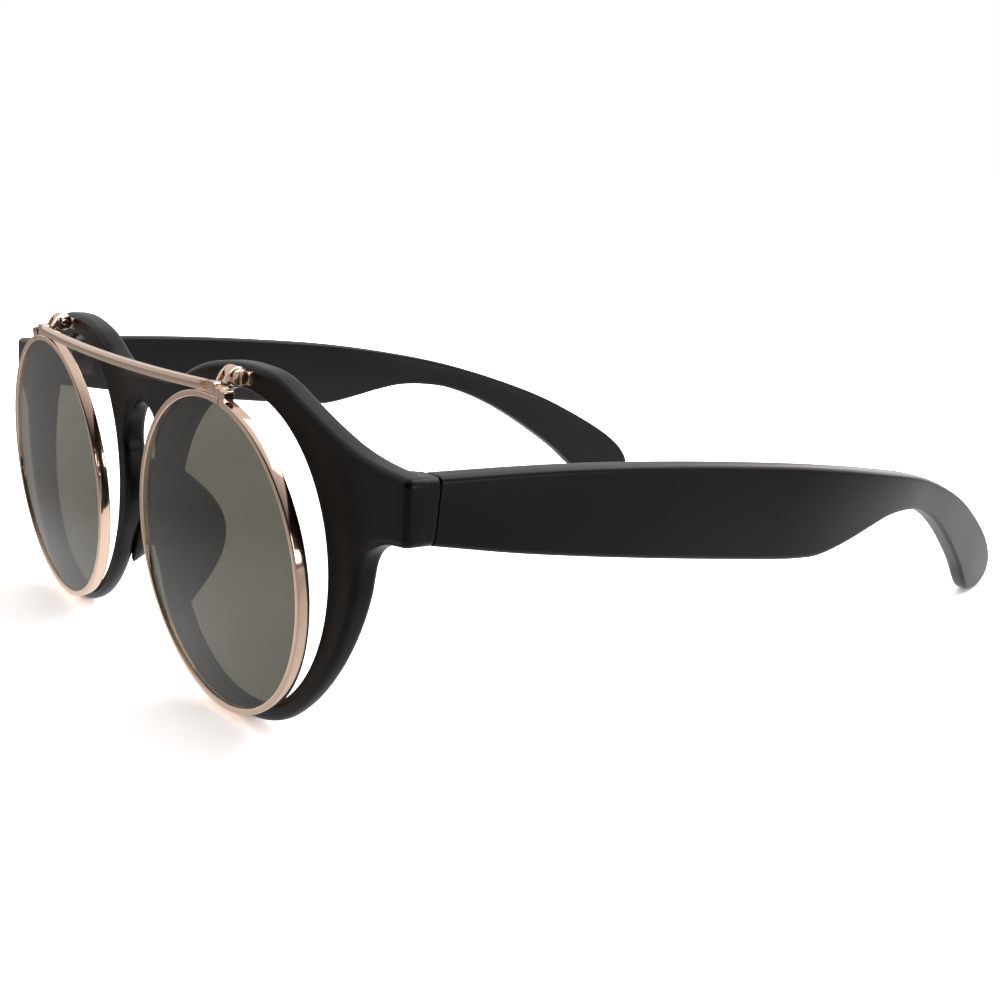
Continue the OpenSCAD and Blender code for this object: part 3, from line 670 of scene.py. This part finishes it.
# The tinted lenses: thin domed discs of grey green plastic. Each is sprung into its
# metal rim before the rim is screwed shut, and stands ahead of the front, leaning.
tint = bpy.data.materials.new("tinted_lens_plastic")
tree, n, links = node_tree(tint)
out = n.new("ShaderNodeOutputMaterial")
glass = n.new("ShaderNodeBsdfPrincipled")
glass.inputs["Base Color"].default_value = (0.112, 0.109, 0.083, 1)
glass.inputs["Transmission Weight"].default_value = 1.0
glass.inputs["IOR"].default_value = 1.40
glass.inputs["Specular IOR Level"].default_value = 0.12
glass.inputs["Roughness"].default_value = 0.02
links.new(glass.outputs[0], out.inputs["Surface"])
rim_ahead, rim_below = 4.11652, 0.7
rim_turn, rim_lean = math.radians(2.2), math.radians(4.7)
rim_at = (
    Matrix.Translation((rim_x, -rim_ahead, -rim_below))
    @ Matrix.Rotation(rim_turn, 4, "Z")
    @ Matrix.Rotation(math.radians(90) + rim_lean, 4, "X")
)
tint_r, tint_t, tint_lip, tint_back = 23.47, 1.2, 0.65, 0.35
for side, name in ((-1, "flip_lens_right"), (1, "flip_lens_left")):
    seat = rim_at @ Matrix.Translation((0, 0, -tint_back))
    disc = turned_disc(seat, tint_r, tint_t, tint_lip, dome_h, side)
    obj = disc.made("domed_" + name)
    obj.data.materials.append(tint)
    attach(obj, "flip_front")
    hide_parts(name)


# The metal rims: split rings of drawn wire, plated rose gold and polished.
# Each is one rounded section swept round an arc that stops short at the closing
# block, whose two halves are soldered on and pulled together by one screw.
gold = bpy.data.materials.new("rose_gold_plating")
tree, n, links = node_tree(gold)
out = n.new("ShaderNodeOutputMaterial")
metal = n.new("ShaderNodeBsdfPrincipled")
metal.inputs["Metallic"].default_value = 1.0
place = n.new("ShaderNodeTexCoord")
cloud = n.new("ShaderNodeTexNoise")
cloud.inputs["Scale"].default_value = 300.0
links.new(place.outputs["Object"], cloud.inputs["Vector"])
tone = n.new("ShaderNodeValToRGB")
tone.color_ramp.elements[0].color = (0.88, 0.64, 0.50, 1)
tone.color_ramp.elements[1].color = (0.95, 0.71, 0.56, 1)
links.new(cloud.outputs["Fac"], tone.inputs["Fac"])
links.new(tone.outputs["Color"], metal.inputs["Base Color"])
gloss = n.new("ShaderNodeMapRange")
gloss.inputs["To Min"].default_value = 0.06
gloss.inputs["To Max"].default_value = 0.12
links.new(cloud.outputs["Fac"], gloss.inputs["Value"])
links.new(gloss.outputs[0], metal.inputs["Roughness"])
links.new(metal.outputs[0], out.inputs["Surface"])

ring_group = bpy.data.node_groups.new("split_wire_ring", "GeometryNodeTree")
socket = {}
for label, kind in (
    ("Radius", "NodeSocketFloat"), ("Gap Bearing", "NodeSocketFloat"),
    ("Sweep", "NodeSocketFloat"), ("Wire Width", "NodeSocketFloat"),
    ("Wire Depth", "NodeSocketFloat"), ("Softness", "NodeSocketFloat"),
    ("Steps", "NodeSocketInt"), ("Plating", "NodeSocketMaterial"),
):
    item = ring_group.interface.new_socket(name=label, in_out="INPUT", socket_type=kind)
    socket[label] = item.identifier
ring_group.interface.new_socket(
    name="Ring", in_out="OUTPUT", socket_type="NodeSocketGeometry"
)
n, links = ring_group.nodes, ring_group.links
given = n.new("NodeGroupInput")
path = n.new("GeometryNodeCurveArc")
path.mode = "RADIUS"
upright = n.new("GeometryNodeSetCurveNormal")
section = n.new("GeometryNodeCurvePrimitiveQuadrilateral")
soft = n.new("GeometryNodeFilletCurve")
soft.mode = "POLY"
soft.inputs["Count"].default_value = 5
sweep = n.new("GeometryNodeCurveToMesh")
sweep.inputs["Fill Caps"].default_value = True
real = n.new("GeometryNodeRealizeInstances")
coat = n.new("GeometryNodeSetMaterial")
result = n.new("NodeGroupOutput")
for source, target, label in (
    ("Steps", path, "Resolution"), ("Radius", path, "Radius"),
    ("Gap Bearing", path, "Start Angle"), ("Sweep", path, "Sweep Angle"),
    ("Wire Width", section, "Width"), ("Wire Depth", section, "Height"),
    ("Softness", soft, "Radius"), ("Plating", coat, "Material"),
):
    links.new(given.outputs[source], target.inputs[label])
upright.mode = "Z_UP"
links.new(path.outputs["Curve"], upright.inputs["Curve"])
links.new(section.outputs["Curve"], soft.inputs["Curve"])
links.new(upright.outputs["Curve"], sweep.inputs["Curve"])
links.new(soft.outputs["Curve"], sweep.inputs["Profile Curve"])
links.new(sweep.outputs["Mesh"], real.inputs["Geometry"])
links.new(real.outputs["Geometry"], coat.inputs["Geometry"])
links.new(coat.outputs["Geometry"], result.inputs[0])

rim_r, wire_w, wire_d, wire_soft = 23.5, 1.0, 1.9, 0.24
close_at, half_gap = math.radians(79), 0.0043
half_block, block_soft, block_out = (1.2, 1.7, 1.8, 1), 0.22, 24
for side, name in ((-1, "right"), (1, "left")):
    holder = bpy.data.objects.new("ring_holder", bpy.data.meshes.new("ring_holder"))
    bpy.context.collection.objects.link(holder)
    grow = holder.modifiers.new("ring", "NODES")
    grow.node_group = ring_group
    for label, value in (
        ("Radius", rim_r), ("Gap Bearing", close_at + half_gap),
        ("Sweep", 2 * (math.pi - half_gap)), ("Wire Width", wire_w),
        ("Wire Depth", wire_d), ("Softness", wire_soft), ("Steps", 240),
        ("Plating", gold),
    ):
        grow[socket[label]] = value
    holder.update_tag()
    seen_by = bpy.context.evaluated_depsgraph_get()
    wire = bpy.data.meshes.new_from_object(holder.evaluated_get(seen_by))
    bpy.data.objects.remove(holder)
    work = bmesh.new()
    work.from_mesh(wire)
    for v in work.verts:
        v.co.z -= wire_d / 2
    block_turn = Matrix.Rotation(close_at - math.radians(90), 4, "Z")
    block_at = block_turn @ Matrix.Translation((0, block_out, -wire_d / 2))
    for half_x in (-0.7, 0.7):
        half_at = block_at @ Matrix.Translation((half_x, 0.6, 0.05))
        spot = half_at @ Matrix.Diagonal(half_block)
        cube = bmesh.ops.create_cube(work, size=1, matrix=spot)["verts"]
        edges = {e for v in cube for e in v.link_edges}
        bmesh.ops.bevel(
            work, geom=list(edges), offset=block_soft, segments=4, affect="EDGES",
            profile=0.5,
        )
    for v in work.verts:
        q = rim_at @ v.co
        v.co = placed((side * q.x, q.y, q.z))
    bmesh.ops.recalc_face_normals(work, faces=work.faces)
    mesh = bpy.data.meshes.new(f"split_rim_{name}")
    work.to_mesh(mesh)
    work.free()
    for polygon in mesh.polygons:
        polygon.use_smooth = True
        polygon.material_index = 0
    mesh.set_sharp_from_angle(angle=crease)
    mesh.materials.clear()
    mesh.materials.append(gold)
    obj = bpy.data.objects.new(f"split_rim_{name}", mesh)
    bpy.context.collection.objects.link(obj)
    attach(obj, "flip_front")
    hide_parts(f"flip_rim_{name}")


# The brow bar: a strip of the same plated metal, soldered to both rims. It bows
# forward and dips a little in the middle, and its front is one broad face with a
# narrow one below it.
bar_end, bar_bow, bar_dip = 33.15, 1.25, 0.5
bar_y, bar_z = -5.78305, 24.1943
sag = math.hypot(bar_bow, bar_dip)
bar_r = (bar_end**2 + sag**2) / (2 * sag)
dip = math.atan2(bar_dip, bar_bow)
half = np.array(
    [
        (-0.6, -0.66), (-0.5, -0.76), (0.28, -0.76), (0.41, -0.71), (0.57, -0.40),
        (0.6, -0.30), (0.6, -0.2), (0.55, 0.56), (0.49, 0.71), (0.36, 0.76),
        (-0.5, 0.76), (-0.6, 0.66),
    ]
)
rows = []
for k in range(-64, 65):
    x = bar_end * k / 64
    lift = sag - (bar_r - math.sqrt(bar_r**2 - x**2))
    trim = 1 if abs(k) < 64 else 0.82
    forward = half[:, 0] * trim
    rise_by = half[:, 1] * trim
    rows.append(
        np.c_[
            np.full(len(half), x),
            bar_y - lift * math.cos(dip) - forward,
            bar_z - lift * math.sin(dip) + rise_by,
        ]
    )
tips = [np.repeat(rows[k].mean(0)[None], len(half), 0) for k in (0, -1)]
bar = Sheet()
bar.grid([tips[0], *rows, tips[1]], close=False)
obj = bar.made("ridged_brow_bar")
obj.data.materials.append(gold)
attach(obj, "flip_front")
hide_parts("brow_bar")


# The flip hinges: stamped arms, screws and the lugs set in the front, all plated
# with the rims. Each is a copy of its own solid, whose sharp edges are rounded off
# as tumbling does.
def softened(name, ride, coat, edge):
    """A copy of a small part with its sharp edges rounded off, in millimetres."""
    copy = bpy.data.objects.new("soft_" + name, nodes[name].data.copy())
    bpy.context.collection.objects.link(copy)
    work = bmesh.new()
    work.from_mesh(copy.data)
    bmesh.ops.transform(work, matrix=nodes[name].matrix_world, verts=work.verts)
    bmesh.ops.remove_doubles(work, verts=work.verts, dist=1e-7)
    bmesh.ops.dissolve_limit(
        work, angle_limit=math.radians(1), verts=work.verts, edges=work.edges
    )
    work.to_mesh(copy.data)
    work.free()
    round_off = copy.modifiers.new("round_off", "BEVEL")
    round_off.width = edge * mm
    round_off.segments = 3
    round_off.angle_limit = math.radians(35)
    seen_by = bpy.context.evaluated_depsgraph_get()
    mesh = bpy.data.meshes.new_from_object(copy.evaluated_get(seen_by))
    copy.modifiers.clear()
    copy.data = mesh
    for polygon in mesh.polygons:
        polygon.use_smooth = True
        polygon.material_index = 0
    mesh.set_sharp_from_angle(angle=crease)
    mesh.materials.clear()
    mesh.materials.append(coat)
    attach(copy, ride)
    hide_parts(name)


for side in ("right", "left"):
    softened(f"flip_arm_{side}", "flip_front", gold, 0.14)
    softened(f"flip_pivot_screw_{side}", "flip_front", gold, 0.10)
    softened(f"flip_hinge_base_{side}", "front", gold, 0.12)


# The temple hinges: a leaf set in each end piece, one in each temple and a screw
# through both, of darkened steel. The rims' lock screws are of the same steel.
steel = bpy.data.materials.new("hinge_steel")
tree, n, links = node_tree(steel)
out = n.new("ShaderNodeOutputMaterial")
metal = n.new("ShaderNodeBsdfPrincipled")
metal.inputs["Metallic"].default_value = 1.0
metal.inputs["Base Color"].default_value = (0.04, 0.037, 0.037, 1)
metal.inputs["Roughness"].default_value = 0.3
links.new(metal.outputs[0], out.inputs["Surface"])

for side in ("right", "left"):
    softened(f"frame_hinge_leaf_{side}", "front", steel, 0.12)
    softened(f"hinge_screw_{side}", "front", steel, 0.08)
    softened(f"temple_hinge_leaf_{side}", f"temple_{side}", steel, 0.12)
    softened(f"rim_lock_screw_{side}", "flip_front", steel, 0.05)
